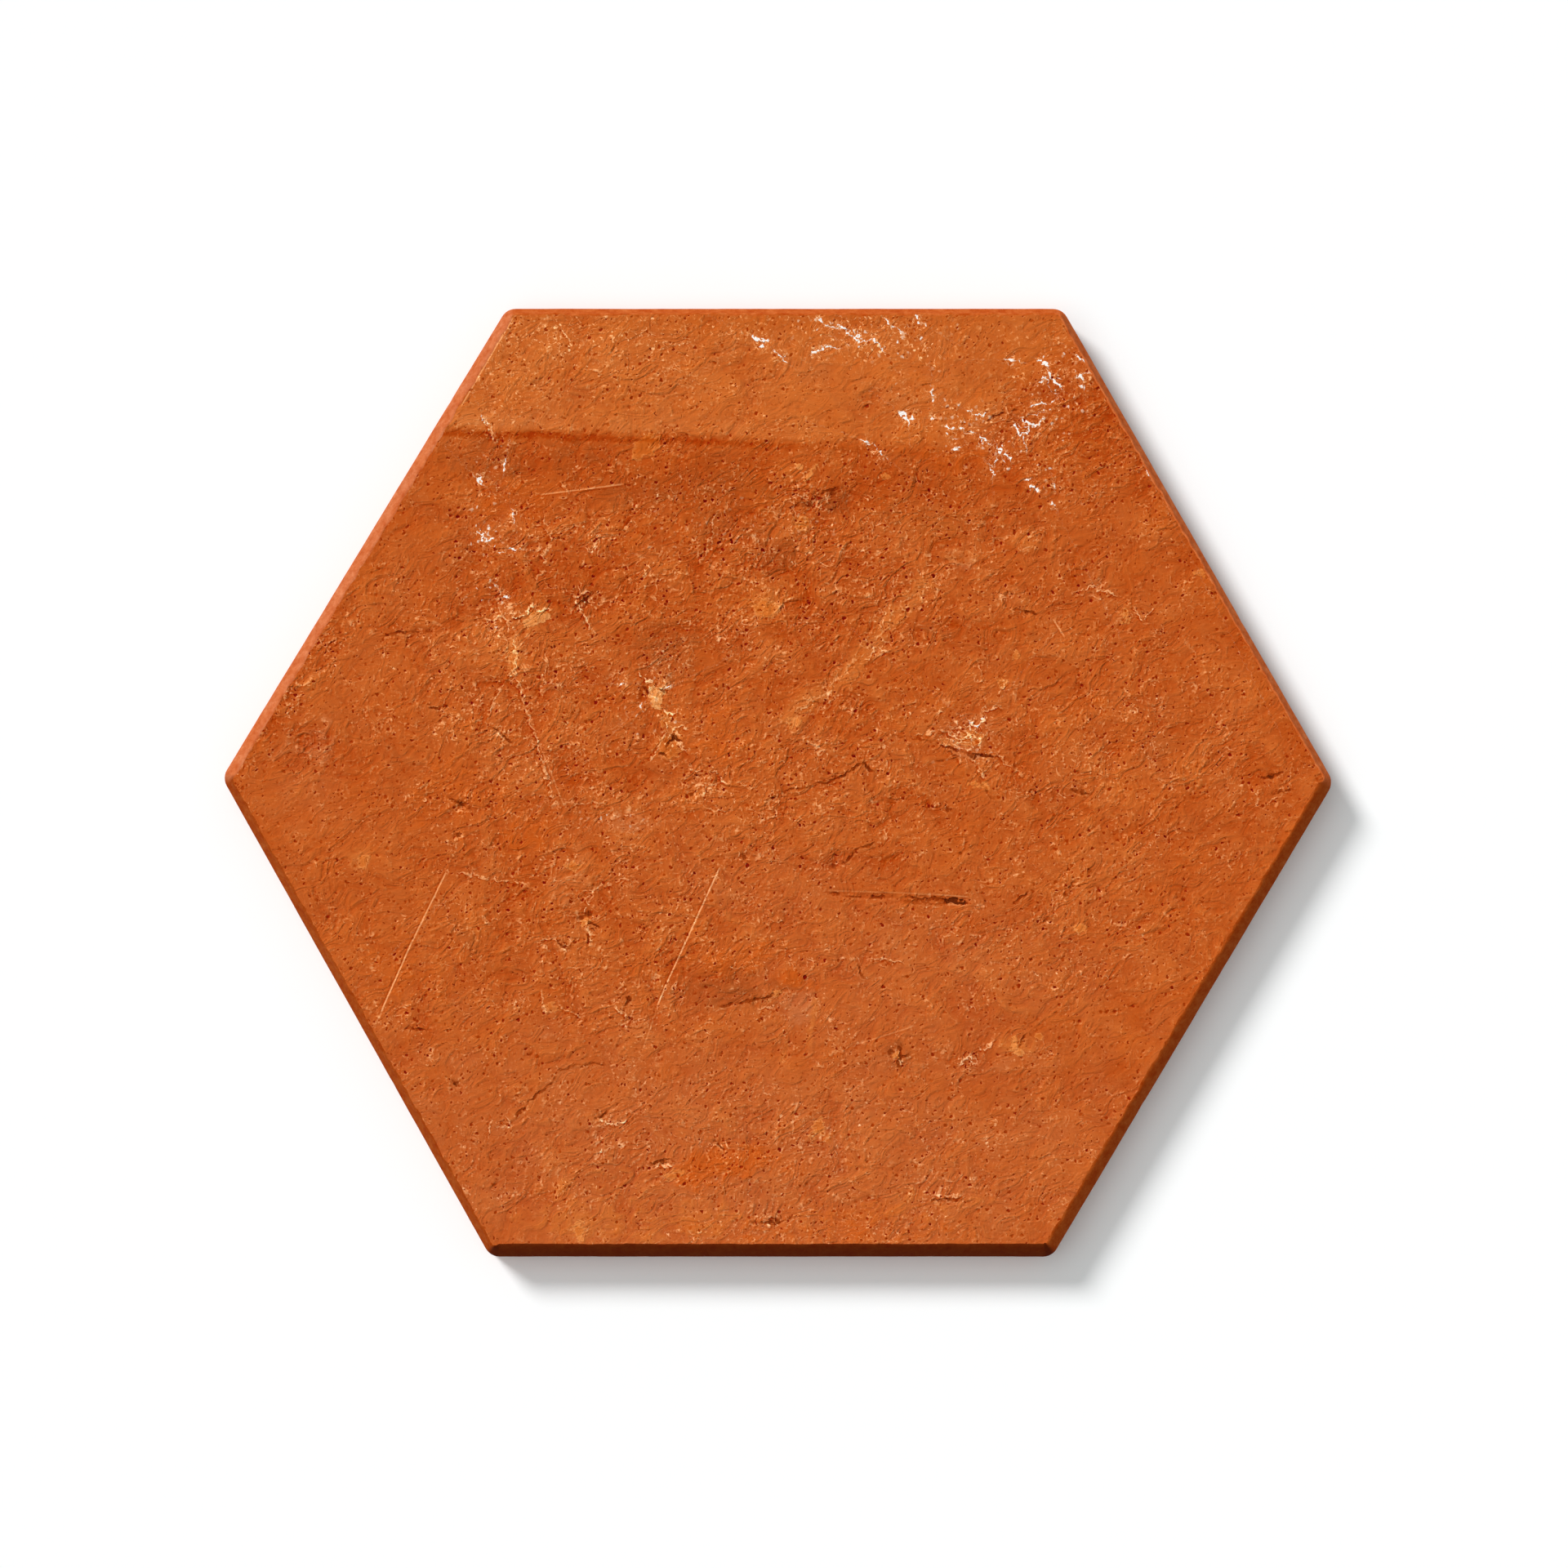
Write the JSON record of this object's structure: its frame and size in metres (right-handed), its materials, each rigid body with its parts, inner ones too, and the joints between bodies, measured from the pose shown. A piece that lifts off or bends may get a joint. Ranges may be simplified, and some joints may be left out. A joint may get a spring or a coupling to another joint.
{
  "type": "hexagonal clay floor tile",
  "caption": "Hexagonal fired clay floor tile with a bevelled wearing face, rounded corners and a flat back that beds in mortar.",
  "frame": {"origin": "centre of the flat back face, on the surface that the tile lies on", "axes": "+Z out of the wearing face, X from corner to corner, Y across the near and far flat sides"},
  "size_m": [0.233, 0.2, 0.012],
  "materials": {
    "fired_clay": "matt unglazed burnt-orange clay, worn, with pits, scratches and specks of white lime"
  },
  "bodies": {
    "root": {"tile": "fired_clay"}
  },
  "joints": []
}
